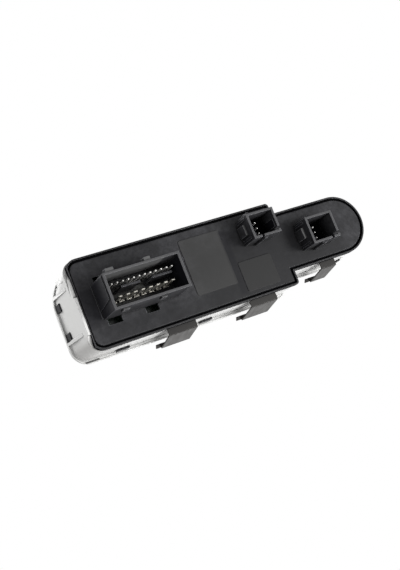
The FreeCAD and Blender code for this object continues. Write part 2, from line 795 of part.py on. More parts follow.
def signal_pins(grow):
    return terminals(PIN_SIDE, PIN_SIDE, PIN_X0, PIN_Y, PIN_PITCH, 0, PIN_COUNT,
                     BIG_PIN_TIP, grow)


def power_blades(grow):
    return terminals(BLADE_THICK, BLADE_WIDE, BLADE_X0, BLADE_Y, BLADE_PITCH, 0,
                     BLADE_COUNT, BIG_PIN_TIP, grow)


def small_pins(grow):
    one = terminals(PIN_SIDE, PIN_SIDE, ONE_PIN_X, ONE_PIN_Y0, 0, SMALL_PITCH, SMALL_COUNT,
                    SMALL_PIN_TIP, grow)
    two = terminals(PIN_SIDE, PIN_SIDE, TWO_PIN_X, TWO_PIN_Y0, 0, SMALL_PITCH, SMALL_COUNT,
                    SMALL_PIN_TIP, grow)
    return one, two


def all_pin_holes():
    one, two = small_pins(PIN_FIT)
    return signal_pins(PIN_FIT) + power_blades(PIN_FIT) + one + two


def point_pin(pin):
    """Taper the free end of one terminal."""
    edges = edges_at(pin, pin.BoundBox.ZMin)
    return pin.makeChamfer(PIN_POINT, edges)


def shouldered(blade):
    """Pointed blade with the wider shoulder that rests on the socket floor."""
    centre = blade.BoundBox.Center
    a = SHOULDER_WIDE / 2
    b = SHOULDER_THICK / 2
    shoulder = box(centre.x - a, centre.x + a, centre.y - b, centre.y + b,
                   SHROUD_FLOOR - SHOULDER_HIGH, SHROUD_FLOOR)
    return point_pin(blade).fuse(shoulder).removeSplitter()


def make_cover():
    parts = [cover_plate(),
             shroud(BIG_X0, BIG_X1, BIG_Y0, BIG_Y1, BIG_RIM),
             shroud(ONE_X0, ONE_X1, ONE_Y0, ONE_Y1, SMALL_RIM),
             shroud(TWO_X0, TWO_X1, TWO_Y0, TWO_Y1, SMALL_RIM)]
    parts += big_shroud_tabs() + cover_hooks()
    parts += small_shroud_keys(ONE_X0, ONE_X1, ONE_Y0, ONE_Y1)
    parts += small_shroud_keys(TWO_X0, TWO_X1, TWO_Y0, TWO_Y1)
    body = fuse(parts)
    rooms = [shroud_room(BIG_X0, BIG_X1, BIG_Y0, BIG_Y1, BIG_RIM),
             shroud_room(ONE_X0, ONE_X1, ONE_Y0, ONE_Y1, SMALL_RIM),
             shroud_room(TWO_X0, TWO_X1, TWO_Y0, TWO_Y1, SMALL_RIM)]
    body = cut(body, rooms + cover_slots())
    keys = [small_inner_keys(ONE_X0, ONE_Y1), small_inner_keys(TWO_X0, TWO_Y1), inner_ledge()]
    body = fuse([body] + dividers() + keys)
    body = cut(body, small_latch_cuts(ONE_X1, ONE_Y1, ONE_LATCH_X)
               + small_latch_cuts(TWO_X1, TWO_Y1, TWO_LATCH_X))
    return cut(body, all_pin_holes())


def make_board():
    plate = outline(BOX_INSET + BOX_WALL + BOARD_GAP, BOARD_LOW, BOARD_HIGH)
    holes = [cyl(SCREW_R + 0.2, x, y, BOARD_LOW - 1, BOARD_HIGH + 1) for x, y in SCREW_SPOTS]
    return cut(plate, holes + all_pin_holes())


def dome_spots():
    spots = []
    for x in ROCKER_X:
        for side in (-1, 1):
            spots.append((x - FOOT_X, side * ROCKER_Y, 2.4))
            spots.append((x + FOOT_X, side * ROCKER_Y, 2.4))
    for side in (-1, 1):
        spots.append((BUTTON_X, side * ROCKER_Y, 2.4))
    for dx, dy in ((1, 0), (-1, 0), (0, 1), (0, -1)):
        spots.append((END_X + dx * PAD_ARM, END_Y + dy * PAD_ARM, 1.7))
    return spots


def make_mat():
    plate = outline(BOX_INSET + BOX_WALL + MAT_GAP, BOARD_HIGH, MAT_HIGH)
    domes = []
    for x, y, r in dome_spots():
        domes.append(Part.makeCone(r, r * 0.7, DOME_HIGH - MAT_HIGH + 0.2,
                                   vec(x, y, MAT_HIGH - 0.2), vec(0, 0, 1)))
    body = fuse([plate] + domes)
    holes = [cyl(BOSS_R + 0.3, x, y, BOARD_HIGH - 1, MAT_HIGH + 1) for x, y in SCREW_SPOTS]
    g = PIN_RELIEF
    low = BOARD_HIGH - 0.5
    high = MAT_HIGH + 0.4
    last = PIN_X0 + (PIN_COUNT - 1) * PIN_PITCH
    blade_last = BLADE_X0 + (BLADE_COUNT - 1) * BLADE_PITCH
    long = (SMALL_COUNT - 1) * SMALL_PITCH
    relief = [box(PIN_X0 - g, last + g, PIN_Y - g, PIN_Y + g, low, high),
              box(BLADE_X0 - g, blade_last + g, BLADE_Y - g, BLADE_Y + g, low, high),
              box(ONE_PIN_X - g, ONE_PIN_X + g, ONE_PIN_Y0 - g, ONE_PIN_Y0 + long + g, low, high),
              box(TWO_PIN_X - g, TWO_PIN_X + g, TWO_PIN_Y0 - g, TWO_PIN_Y0 + long + g, low, high)]
    return cut(body, holes + relief)


def make_screws():
    parts = []
    for x, y in SCREW_SPOTS:
        shank = cyl(SCREW_R, x, y, BOARD_LOW - 0.1, DECK_LOW - 1.2)
        head = cyl(SCREW_HEAD_R, x, y, BOARD_LOW - 1.4, BOARD_LOW)
        screw = head.fuse(shank)
        arm = 0.3
        cross = [box(x - 1.2, x + 1.2, y - arm, y + arm, BOARD_LOW - 2, BOARD_LOW - 0.8),
                 box(x - arm, x + arm, y - 1.2, y + 1.2, BOARD_LOW - 2, BOARD_LOW - 0.8)]
        parts.append(screw.cut(cross).removeSplitter())
    return Part.makeCompound(parts)


def clip_strip(x, wide, points):
    """Bent strip of spring steel: its side profile pushed along X."""
    pts = [vec(x, y, z) for y, z in points]
    pts.append(pts[0])
    return Part.Face(Part.makePolygon(pts)).extrude(vec(wide, 0, 0))


def clip(x, wide, edge):
    """Spring clip astride the wall's rear edge: inner leg, shelf, sloping leg, neck and lip."""
    t = CLIP_T
    inner = edge - BEZEL_INSET - BEZEL_WALL - t
    out = edge + CLIP_SHELF
    far = out + CLIP_FLARE
    low = CLIP_Z
    end = low + CLIP_LEG
    lean = CLIP_FLARE / CLIP_LEG
    skin = t * math.sqrt(1 + lean * lean)
    near = far - CLIP_NECK
    neck = end + 1.4
    main = [(inner, low), (out, low), (out + 0.35, low + 0.12), (far, end), (near, neck),
            (near - 0.55, neck - 0.1), (far - skin, end - 0.2), (out - 0.25, low + t),
            (inner + t, low + t), (inner + t, low + CLIP_INNER), (inner, low + CLIP_INNER)]
    lip = [(near - 0.1, neck - 0.4), (near + CLIP_LIP, neck + 1.0), (near + CLIP_LIP - 0.35, neck + 1.35),
           (near - 0.5, neck)]
    ear = CLIP_EAR
    return fuse([clip_strip(x, wide, main), clip_strip(x - ear, wide + 2 * ear, lip)])


def make_wide_clips():
    return Part.makeCompound([clip(x, CLIP_WIDE, WIDE_HALF) for x in (CLIP_A_X, CLIP_B_X)])


def make_narrow_clip():
    return clip(CLIP_C_X, CLIP_NARROW, NARROW_HIGH)


def rocker_profile(x, y):
    """Side view of one rocker: low finger dip, raised pull-up lip at the front."""
    half = ROCKER_LONG / 2
    low = ROCKER_AXIS_Z
    top = ROCKER_REAR_TOP
    front = ROCKER_FRONT_TOP
    a = vec(x - half, y, low)
    b = vec(x - half, y, top - 1.1)
    c = vec(x - half + 1.4, y, top)
    d = vec(x + half - 4.2, y, top + 0.1)
    e = vec(x + half - 0.9, y, front)
    f = vec(x + half, y, front - 0.6)
    g = vec(x + half, y, low)
    scoop = Part.Arc(c, vec((c.x + d.x) / 2, y, ROCKER_DIP), d).toShape()
    rise = Part.Arc(d, vec((d.x + e.x) / 2, y, (d.z + e.z) / 2 - 0.35), e).toShape()
    parts = [Part.makeLine(a, b), Part.makeLine(b, c), scoop, rise, Part.makeLine(e, f),
             Part.makeLine(f, g), Part.makeLine(g, a)]
    return Part.Face(Part.Wire(parts))


def rocker(x, side):
    y = side * ROCKER_Y
    half_x = ROCKER_LONG / 2
    half_y = ROCKER_WIDE / 2
    wall = ROCKER_WALL
    body = rocker_profile(x, y - half_y).extrude(vec(0, ROCKER_WIDE, 0))
    body = body.makeChamfer(ROCKER_EDGE, rocker_soft_edges(body))
    roof = ROCKER_DIP - wall - 0.1
    hollow = box(x - half_x + wall, x + half_x - wall, y - half_y + wall, y + half_y - wall,
                 ROCKER_AXIS_Z - 0.5, roof)
    body = body.cut(hollow)
    feet = []
    h = FOOT_SIDE / 2
    for foot in (-FOOT_X, FOOT_X):
        feet.append(box(x + foot - h, x + foot + h, y - h, y + h, FOOT_TIP, roof + 0.5))
    web = box(x - 1.0, x + 1.0, y - half_y + 0.6, y + half_y - 0.6, ROCKER_AXIS_Z + 0.5, roof + 0.4)
    reach = ROCKER_SIDE_GAP + PIVOT_LONG - 0.3
    pins = [cyl_y(PIVOT_R, x, y - half_y - reach, y - half_y + 1.0, ROCKER_AXIS_Z),
            cyl_y(PIVOT_R, x, y + half_y - 1.0, y + half_y + reach, ROCKER_AXIS_Z)]
    bosses = [cyl_y(PIVOT_R + 1.0, x, y - half_y, y - half_y + wall, ROCKER_AXIS_Z),
              cyl_y(PIVOT_R + 1.0, x, y + half_y - wall, y + half_y, ROCKER_AXIS_Z)]
    return fuse([body, web] + feet + pins + bosses)


def rocker_soft_edges(body):
    found = []
    for edge in body.Edges:
        bb = edge.BoundBox
        flat = abs(bb.YMin - bb.YMax) < 1e-4
        if flat and bb.ZMin > ROCKER_AXIS_Z + 0.5:
            found.append(edge)
    return found


def button(side):
    x = BUTTON_X
    y = side * ROCKER_Y
    half = BUTTON_LONG / 2
    wide = ROCKER_WIDE / 2
    wall = BUTTON_WALL
    body = round_box(x - half, x + half, y - wide, y + wide, BUTTON_LOW, BUTTON_TOP, 0.8)
    body = body.makeChamfer(ROCKER_EDGE, edges_at(body, BUTTON_TOP))
    inner = half - wall
    r = (inner * inner + BUTTON_DISH * BUTTON_DISH) / (2 * BUTTON_DISH)
    body = body.cut(cyl_y(r, x, y - wide - 1, y + wide + 1, BUTTON_TOP + r - BUTTON_DISH))
    body = body.cut(box(x - inner, x + inner, y - wide + wall, y + wide - wall,
                        BUTTON_LOW - 0.2, BUTTON_TOP - 2.4))
    h = BUTTON_STEM / 2
    stem = box(x - h, x + h, y - h, y + h, BUTTON_TIP, BUTTON_TOP - 1.8)
    return fuse([body, stem])


def make_ring():
    """Selector ring with grip grooves around its side."""
    top = cyl(RING_R, END_X, END_Y, 20.6, RING_TOP)
    top = top.makeChamfer(RING_EDGE, edges_at(top, RING_TOP))
    skirt = cyl(RING_SKIRT_R, END_X, END_Y, RING_LOW, 20.8)
    body = fuse([top, skirt])
    ledge = POST_TOP + 0.5
    tools = [cyl(POST_R + POST_CLEAR, END_X, END_Y, RING_LOW - 1, ledge),
             cyl(PAD_R + 1.6, END_X, END_Y, ledge - 0.01, RING_TOP + 1)]
    body = cut(body, tools)
    groove = box(RING_R - GROOVE_IN, RING_R + 1, -GROOVE_IN, GROOVE_IN, ledge, RING_TOP + 1)
    grooves = []
    for i in range(GRIP_COUNT):
        copy = groove.copy()
        copy.rotate(vec(0, 0, 0), vec(0, 0, 1), 360.0 * i / GRIP_COUNT)
        copy.translate(vec(END_X, END_Y, 0))
        grooves.append(copy)
    return cut(body, grooves)


def make_gimbal():
    z0 = TILT_Z - GIMBAL_HALF
    z1 = TILT_Z + GIMBAL_HALF
    ring = cyl(GIMBAL_OUT, END_X, END_Y, z0, z1)
    pin = cyl_x(GIMBAL_PIN_R, END_X - POST_R + 0.15, END_X + POST_R - 0.15, END_Y, TILT_Z)
    body = ring.fuse(pin).cut(cyl(GIMBAL_IN, END_X, END_Y, z0 - 1, z1 + 1))
    hole = cyl_y(GIMBAL_PIN_R + PIVOT_CLEAR, END_X, END_Y - 7, END_Y + 7, TILT_Z)
    return body.cut(hole).removeSplitter()


def make_pad():
    cap = cyl(PAD_R, END_X, END_Y, PAD_LOW, PAD_TOP)
    cap = cap.makeChamfer(PAD_EDGE, edges_at(cap, PAD_TOP))
    dish = Part.makeCone(0.6, PAD_R - 2 * PAD_EDGE, PAD_DISH, vec(END_X, END_Y, PAD_TOP - PAD_DISH),
                         vec(0, 0, 1))
    under = cyl(PAD_R - PAD_WALL, END_X, END_Y, PAD_LOW - 1, PAD_TOP - 2.5)
    cap = cap.cut([dish, under])
    stem = cyl(STEM_R, END_X, END_Y, FOOT_TIP + 0.4, PAD_TOP - 2.1)
    pin = cyl_y(GIMBAL_PIN_R, END_X, END_Y - GIMBAL_OUT + 0.2, END_Y + GIMBAL_OUT - 0.2, TILT_Z)
    arm = PAD_ARM + 1.0
    low = FOOT_TIP - 0.2
    foot = [box(END_X - arm, END_X + arm, END_Y - 0.9, END_Y + 0.9, low, low + 1.1),
            box(END_X - 0.9, END_X + 0.9, END_Y - arm, END_Y + arm, low, low + 1.1)]
    return fuse([cap, stem, pin] + foot)


def chip(x, y, long, wide, high):
    return box(x - long / 2, x + long / 2, y - wide / 2, y + wide / 2, BOARD_LOW - high, BOARD_LOW)


def make_main_chip():
    return chip(-20.0, -0.2, 8.0, 8.0, 1.6)


def make_driver_chips():
    return Part.makeCompound([chip(-9.8, -9.5, 5.0, 4.4, 1.4), chip(30.5, 2.3, 5.0, 4.4, 1.4)])


def make_capacitors():
    parts = []
    y = WALL_INNER - CAN_R - 3.0
    for x, side in CAN_SPOTS:
        can = cyl(CAN_R, x, side * y, BOARD_LOW - CAN_HIGH, BOARD_LOW)
        parts.append(can.makeChamfer(0.3, edges_at(can, BOARD_LOW - CAN_HIGH)))
    return Part.makeCompound(parts)


def led_spots():
    return [(x, y) for x in LAMP_X for y in (-LAMP_Y, LAMP_Y)]


def make_leds():
    parts = []
    for x, y in led_spots():
        low = MAT_HIGH + LAMP_GAP
        parts.append(box(x - 0.8, x + 0.8, y - 0.5, y + 0.5, low, low + LAMP_HIGH))
    return Part.makeCompound(parts)


def make_light_bars():
    """Two clear bars under the deck that carry lamp light along the rocker rows."""
    parts = []
    low = MAT_HIGH + LAMP_GAP + LAMP_HIGH + BAR_GAP
    for y in (-LAMP_Y, LAMP_Y):
        parts.append(box(BAR_SPAN[0], BAR_SPAN[1], y - 0.9, y + 0.9, low, low + BAR_HIGH))
    return Part.makeCompound(parts)


def build():
    one, two = small_pins(0)
    nodes = {
        "bezel": make_bezel(),
        "mechanism_box": make_box(),
        "rear_cover": make_cover(),
        "circuit_board": make_board(),
        "contact_mat": make_mat(),
        "signal_pins": Part.makeCompound([point_pin(p) for p in signal_pins(0)]),
        "power_blades": Part.makeCompound([shouldered(p) for p in power_blades(0)]),
        "inner_socket_pins": Part.makeCompound([point_pin(p) for p in one]),
        "end_socket_pins": Part.makeCompound([point_pin(p) for p in two]),
        "board_screws": make_screws(),
        "wide_clips": make_wide_clips(),
        "narrow_clip": make_narrow_clip(),
        "main_chip": make_main_chip(),
        "driver_chips": make_driver_chips(),
        "capacitors": make_capacitors(),
        "lamps": make_leds(),
        "light_bars": make_light_bars(),
        "rocker_rear_low": rocker(ROCKER_X[0], -1),
        "rocker_rear_high": rocker(ROCKER_X[0], 1),
        "rocker_front_low": rocker(ROCKER_X[1], -1),
        "rocker_front_high": rocker(ROCKER_X[1], 1),
        "lock_button": button(1),
        "fold_button": button(-1),
        "selector_ring": make_ring(),
        "gimbal": make_gimbal(),
        "mirror_pad": make_pad(),
    }
    return nodes


def main():
    os.makedirs("parts", exist_ok=True)
    for name, shape in build().items():
        placed = shape.copy()
        placed.translate(vec(MOVE_X, MOVE_Y, MOVE_Z))
        placed.exportStep("parts/" + name + ".step")


main()
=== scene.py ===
import math

import bpy
from mathutils import Matrix, Vector


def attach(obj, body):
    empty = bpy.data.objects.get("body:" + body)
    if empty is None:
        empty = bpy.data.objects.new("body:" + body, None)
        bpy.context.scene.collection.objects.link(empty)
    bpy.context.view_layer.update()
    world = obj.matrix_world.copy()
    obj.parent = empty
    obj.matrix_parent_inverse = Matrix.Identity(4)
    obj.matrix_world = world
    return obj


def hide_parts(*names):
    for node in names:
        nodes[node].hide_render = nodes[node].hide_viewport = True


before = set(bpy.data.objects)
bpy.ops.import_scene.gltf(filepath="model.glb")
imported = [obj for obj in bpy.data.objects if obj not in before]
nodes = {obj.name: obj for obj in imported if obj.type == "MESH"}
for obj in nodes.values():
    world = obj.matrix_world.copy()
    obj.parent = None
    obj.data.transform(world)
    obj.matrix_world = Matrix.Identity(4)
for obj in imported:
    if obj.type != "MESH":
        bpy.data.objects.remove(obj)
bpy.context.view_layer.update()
MM = 0.001

# Sampling and depths that the materials share, in millimetres where they are lengths
BEVEL_SAMPLES = 4
CREVICE_SAMPLES = 12
CREVICE_REACH = 1.3
CREVICE_TONE = 0.15
MOTTLE_SCALE = 420.0
MOTTLE_SHADE = 0.3
GRAIN_DEPTH = 0.04
LINE_DEPTH = 0.02
LINE_STRENGTH = 0.15
CALM_EDGE_LIGHT = 0.15

# Middle of a noise's values, over which a ramp runs
NOISE_LOW = 0.3
NOISE_HIGH = 0.7


# Node helpers

def new_material(name):
    mat = bpy.data.materials.new(name)
    mat.use_nodes = True
    tree = mat.node_tree
    bsdf = tree.nodes["Principled BSDF"]
    return mat, tree, bsdf


def noise(tree, scale, detail, rough):
    coords = tree.nodes.new("ShaderNodeTexCoord")
    tex = tree.nodes.new("ShaderNodeTexNoise")
    tex.inputs["Scale"].default_value = scale
    tex.inputs["Detail"].default_value = detail
    tex.inputs["Roughness"].default_value = rough
    tree.links.new(coords.outputs["Object"], tex.inputs["Vector"])
    return tex.outputs["Fac"]


def ramp(tree, value, low, high, out_low, out_high):
    node = tree.nodes.new("ShaderNodeMapRange")
    node.inputs["From Min"].default_value = low
    node.inputs["From Max"].default_value = high
    node.inputs["To Min"].default_value = out_low
    node.inputs["To Max"].default_value = out_high
    tree.links.new(value, node.inputs["Value"])
    return node.outputs["Result"]


def shade(color, k):
    return tuple(min(1.0, c * k) for c in color)


def mix_node(tree, fac):
    node = tree.nodes.new("ShaderNodeMix")
    node.data_type = "RGBA"
    tree.links.new(fac, node.inputs["Factor"])
    return node


def uneven(tree, value, color, spread):
    """A colour that a noise makes a little darker and lighter."""
    node = mix_node(tree, ramp(tree, value, NOISE_LOW, NOISE_HIGH, 0.0, 1.0))
    node.inputs["A"].default_value = (*shade(color, 1 - spread), 1)
    node.inputs["B"].default_value = (*shade(color, 1 + spread), 1)
    return node.outputs["Result"]


def blend_to(tree, fac, base, color):
    """Mix a colour output towards one fixed colour."""
    node = mix_node(tree, fac)
    node.inputs["B"].default_value = (*color, 1)
    tree.links.new(base, node.inputs["A"])
    return node.outputs["Result"]


def math_node(tree, kind, a, b):
    node = tree.nodes.new("ShaderNodeMath")
    node.operation = kind
    for k, value in enumerate((a, b)):
        if isinstance(value, (int, float)):
            node.inputs[k].default_value = value
        else:
            tree.links.new(value, node.inputs[k])
    return node.outputs["Value"]


def inside(tree, low, high, soft=0.1):
    """1 within a box given in millimetres, falling to 0 over a soft margin."""
    coords = tree.nodes.new("ShaderNodeTexCoord")
    parts = tree.nodes.new("ShaderNodeSeparateXYZ")
    tree.links.new(coords.outputs["Object"], parts.inputs["Vector"])
    total = None
    for k, axis in enumerate("XYZ"):
        middle = (low[k] + high[k]) / 2 * MM
        half = (high[k] - low[k]) / 2 * MM
        offset = math_node(tree, "SUBTRACT", parts.outputs[axis], middle)
        away = math_node(tree, "ABSOLUTE", offset, 0.0)
        near = ramp(tree, away, half, half + soft * MM, 1.0, 0.0)
        total = near if total is None else math_node(tree, "MULTIPLY", total, near)
    return total


def rounded_normal(tree, edge):
    """Normal of the surface with its edges rounded by a radius in millimetres."""
    node = tree.nodes.new("ShaderNodeBevel")
    node.samples = BEVEL_SAMPLES
    node.inputs["Radius"].default_value = edge * MM
    return node.outputs["Normal"]


def bump_normal(tree, height, normal, strength, depth):
    node = tree.nodes.new("ShaderNodeBump")
    node.inputs["Strength"].default_value = strength
    node.inputs["Distance"].default_value = depth * MM
    tree.links.new(height, node.inputs["Height"])
    tree.links.new(normal, node.inputs["Normal"])
    return node.outputs["Normal"]


# Materials

def near_openness(tree):
    """1 on open faces, less in corners and slots."""
    node = tree.nodes.new("ShaderNodeAmbientOcclusion")
    node.samples = CREVICE_SAMPLES
    node.inputs["Distance"].default_value = CREVICE_REACH * MM
    return node.outputs["AO"]


def rubbed_and_lit_edges(tree, rounded, rub_and_highlight, openness, calm):
    """How lightened an edge is, partly as rub and partly as a painted highlight: where the
    rounded normal leaves the face's own, in the open.
    """
    face = tree.nodes.new("ShaderNodeNewGeometry")
    dot = tree.nodes.new("ShaderNodeVectorMath")
    dot.operation = "DOT_PRODUCT"
    tree.links.new(rounded, dot.inputs[0])
    tree.links.new(face.outputs["Normal"], dot.inputs[1])
    edge_light = ramp(tree, dot.outputs["Value"], 0.995, 0.90, 0.0, rub_and_highlight)
    edge_light = math_node(tree, "MULTIPLY", edge_light, ramp(tree, openness, 0.7, 0.9, 0.0, 1.0))
    for low, high in calm:
        away = ramp(tree, inside(tree, low, high), 0.0, 1.0, 1.0, CALM_EDGE_LIGHT)
        edge_light = math_node(tree, "MULTIPLY", edge_light, away)
    return edge_light


def plastic(name, color, rough, grain=0.0, grain_scale=2600.0, edge=0.25, spread=0.08, coat=0.0,
            specular=0.5, mottle=0.0, rub_and_highlight=0.0, patches=(), crevice_shade=0.0, flow_scale=38.0,
            highlight_gain=3.2, calm=()):
    """Moulded plastic: uneven tone, eroded grain, softly rounded edges, lightened partly as rub
    and partly as a painted highlight.

    A patch is (low corner, high corner, soft margin, amount, tint). Crevice shade paints corners
    and slots darker, as painted shade. The boxes in calm keep little of the edge lightening. The
    edge lightening needs the crevice shade, because both read how open a place is.
    """
    mat, tree, bsdf = new_material(name)
    tone = uneven(tree, noise(tree, flow_scale, 4.0, 0.6), color, spread)
    if mottle > 0:
        cloud = noise(tree, MOTTLE_SCALE, 5.0, 0.75)
        dark = ramp(tree, cloud, 0.35, 0.62, mottle, 0.0)
        tone = blend_to(tree, dark, tone, shade(color, MOTTLE_SHADE))
    rounded = rounded_normal(tree, edge)
    for low, high, soft, amount, tint in patches:
        fac = math_node(tree, "MULTIPLY", inside(tree, low, high, soft), amount)
        tone = blend_to(tree, fac, tone, tint)
    # Painted shade: corners, creases and slots darkened where little is open around them
    if crevice_shade > 0:
        openness = near_openness(tree)
        crevice_dark = ramp(tree, openness, 0.45, 0.9, crevice_shade, 0.0)
        tone = blend_to(tree, crevice_dark, tone, shade(color, CREVICE_TONE))
        # Open edges lightened, partly as rub and partly as a painted highlight
        if rub_and_highlight > 0:
            edge_light = rubbed_and_lit_edges(tree, rounded, rub_and_highlight, openness, calm)
            tone = blend_to(tree, edge_light, tone, shade(color, highlight_gain))
    tree.links.new(tone, bsdf.inputs["Base Color"])
    fine = noise(tree, grain_scale, 2.0, 0.55)
    tree.links.new(ramp(tree, fine, NOISE_LOW, NOISE_HIGH, rough - 0.05, rough + 0.07),
                   bsdf.inputs["Roughness"])
    normal = bump_normal(tree, fine, rounded, grain, GRAIN_DEPTH) if grain > 0 else rounded
    tree.links.new(normal, bsdf.inputs["Normal"])
    bsdf.inputs["Coat Weight"].default_value = coat
    bsdf.inputs["Specular IOR Level"].default_value = specular
    return mat


def metal(name, color, rough, stretch=(1.0, 1.0, 0.06), scale=1800.0, edge=0.08, spread=0.1,
          metallic=1.0):
    """Drawn or stamped metal with fine lines along Z and a slightly uneven tone."""
    mat, tree, bsdf = new_material(name)
    bsdf.inputs["Metallic"].default_value = metallic
    coords = tree.nodes.new("ShaderNodeTexCoord")
    place = tree.nodes.new("ShaderNodeMapping")
    place.inputs["Scale"].default_value = stretch
    tex = tree.nodes.new("ShaderNodeTexNoise")
    tex.inputs["Scale"].default_value = scale
    tex.inputs["Detail"].default_value = 3.0
    tree.links.new(coords.outputs["Object"], place.inputs["Vector"])
    tree.links.new(place.outputs["Vector"], tex.inputs["Vector"])
    lines = tex.outputs["Fac"]
    tree.links.new(uneven(tree, lines, color, spread), bsdf.inputs["Base Color"])
    tree.links.new(ramp(tree, lines, NOISE_LOW, NOISE_HIGH, rough - 0.06, rough + 0.08),
                   bsdf.inputs["Roughness"])
    normal = bump_normal(tree, lines, rounded_normal(tree, edge), LINE_STRENGTH, LINE_DEPTH)
    tree.links.new(normal, bsdf.inputs["Normal"])
    return mat


def tint_zone(mat, low, high, soft, amount, tint):
    """Blend one box of a finished material towards a tint."""
    tree = mat.node_tree
    socket = tree.nodes["Principled BSDF"].inputs["Base Color"]
    base = socket.links[0].from_socket
    fac = math_node(tree, "MULTIPLY", inside(tree, low, high, soft), amount)
    tree.links.new(blend_to(tree, fac, base, tint), socket)


def dull_zones(mat, zones, sheen):
    """Take the sheen of a finished material away within some boxes."""
    tree = mat.node_tree
    total = None
    for low, high in zones:
        zone = inside(tree, low, high, ROOM_SOFT)
        total = zone if total is None else math_node(tree, "MAXIMUM", total, zone)
    tree.links.new(ramp(tree, total, 0.0, 1.0, sheen, 0.0),
                   tree.nodes["Principled BSDF"].inputs["Specular IOR Level"])


def dress(names, mat):
    for name in names:
        data = nodes[name].data
        data.materials.clear()
        data.materials.append(mat)


# Zones with painted shade or painted light, and two pads with a tone of their own, each box by
# its low and high corner in millimetres

PAINTED_SHADE = (0.006, 0.006, 0.008)
PLATE_SHADE = (0.012, 0.012, 0.013)
LARGE_PAD = (0.048, 0.048, 0.047)
SMALL_PAD = (0.023, 0.023, 0.023)
RIM_HIGHLIGHT = (0.085, 0.085, 0.087)
SOCKET_FLOOR_LIGHT = (0.10, 0.10, 0.095)
PAINTED_WALL_LIGHT = (0.12, 0.12, 0.12)
INNER_LATCH_HIGHLIGHT = (0.16, 0.16, 0.16)
END_LATCH_HIGHLIGHT = (0.34, 0.34, 0.34)
CORNER_SHADE = (0.30, 0.29, 0.28)
FLANGE_GAP_SHADE = (0.02, 0.02, 0.02)
SHELF_SHADE = (0.018, 0.018, 0.018)

SHARP = 0.05
ROOM_SOFT = 0.15
COVER_SHEEN = 0.14

# Painted shade inside the small sockets, and on the far inner wall of the large one
SMALL_ROOMS = (((11.5, -16.3, -16.4), (23.2, -7.1, -0.6)),
               ((39.2, -7.1, -16.4), (51.5, 3.0, -0.6)))
FAR_WALL_LOW = (-31.5, -8.0, -21.2)
FAR_WALL_HIGH = (-28.9, 6.0, -6.0)
FAR_WALL_DULL_HIGH = (-27.9, 6.0, -6.0)
room_patches = [(low, high, ROOM_SOFT, 0.9, PAINTED_SHADE) for low, high in SMALL_ROOMS]
room_patches.append((FAR_WALL_LOW, FAR_WALL_HIGH, ROOM_SOFT, 0.85, PAINTED_SHADE))

# Rear plate: painted shade over most of its right half and along its clip side on the left,
# painted shadows beside the small pad and beside the large socket, and the fields of its two pads
PLATE_LOW = -6.4
PLATE_HIGH = -5.0


def on_plate(x_low, y_low, x_high, y_high):
    return (x_low, y_low, PLATE_LOW), (x_high, y_high, PLATE_HIGH)


plate_patches = [(*on_plate(-12.0, -6.0, 58.0, 20.0), 6.0, 0.8, PLATE_SHADE),
                 (*on_plate(-64.0, 11.0, -12.0, 20.0), 4.0, 0.5, PLATE_SHADE),
                 (*on_plate(-20.2, -16.6, 0.1, 8.8), 0.5, 0.6, LARGE_PAD),
                 (*on_plate(3.6, 0.4, 20.7, 14.2), 0.3, 0.9, SMALL_PAD)]
shade_patches = [(*on_plate(0.4, -15.0, 2.9, 14.0), 1.2, 0.6, PAINTED_SHADE),
                 (*on_plate(-70.5, -7.5, -64.8, 6.5), 2.5, 0.6, PAINTED_SHADE)]
PAD_ZONES = (on_plate(-21.0, -17.4, 0.9, 9.6), on_plate(2.8, -0.4, 21.4, 15.0))

# Painted shade on the outer end walls of the three shrouds
side_patches = [((-64.6, -9.4, -21.4), (-63.2, 5.9, -5.8), 0.1, 0.75, PAINTED_SHADE),
                ((9.6, -17.4, -16.4), (10.6, -5.9, -5.8), 0.1, 0.6, PAINTED_SHADE),
                ((37.3, -8.3, -16.4), (38.3, 4.2, -5.8), 0.1, 0.6, PAINTED_SHADE)]

# Painted light: highlights on the rims of the shrouds and the tops of two latches, painted light
# on the upper inner wall and floor of the large socket, and highlights on the faces of the tabs
# along its long sides
painted_highlights = [((-64.2, -10.0, -21.9), (-28.0, 6.6, -21.5), SHARP, 0.75, RIM_HIGHLIGHT),
               ((10.0, -17.8, -16.9), (24.6, -5.4, -16.5), SHARP, 0.75, RIM_HIGHLIGHT),
               ((37.8, -8.6, -16.9), (52.9, 4.6, -16.5), SHARP, 0.75, RIM_HIGHLIGHT),
               ((36.7, -5.0, -12.4), (38.0, -0.1, -11.95), SHARP, 0.9, END_LATCH_HIGHLIGHT),
               ((9.0, -14.1, -12.4), (10.3, -9.2, -11.95), SHARP, 0.9, INNER_LATCH_HIGHLIGHT),
               ((-62.6, -8.9, -21.4), (-36.0, -8.4, -8.0), 0.6, 0.8, PAINTED_WALL_LIGHT),
               ((-60.0, -5.0, -5.6), (-43.0, 1.5, -4.9), 2.0, 0.7, SOCKET_FLOOR_LIGHT),
               ((-64.0, -11.4, -21.5), (-28.0, -9.55, -21.1), SHARP, 0.8, PAINTED_WALL_LIGHT),
               ((-64.0, 6.85, -19.5), (-28.0, 7.0, -15.5), 0.03, 0.7, PAINTED_WALL_LIGHT),
               ((-64.0, 6.15, -19.5), (-28.0, 7.0, -19.1), 0.03, 0.7, PAINTED_WALL_LIGHT)]

# Painted shade on the snap lugs in the leaning end wall and along the clip side, and on the side
# of the rim
RIM_SIDE = ((-78.0, -24.0, -5.2), (78.0, 24.0, -2.4))
box_patches = [((-78.0, -9.0, 9.0), (-74.6, 9.0, 14.2), 0.1, 0.9, PAINTED_SHADE),
               ((-78.0, 17.9, 8.8), (78.0, 20.0, 13.0), 0.1, 0.9, PAINTED_SHADE),
               (*RIM_SIDE, ROOM_SOFT, 0.9, PAINTED_SHADE)]

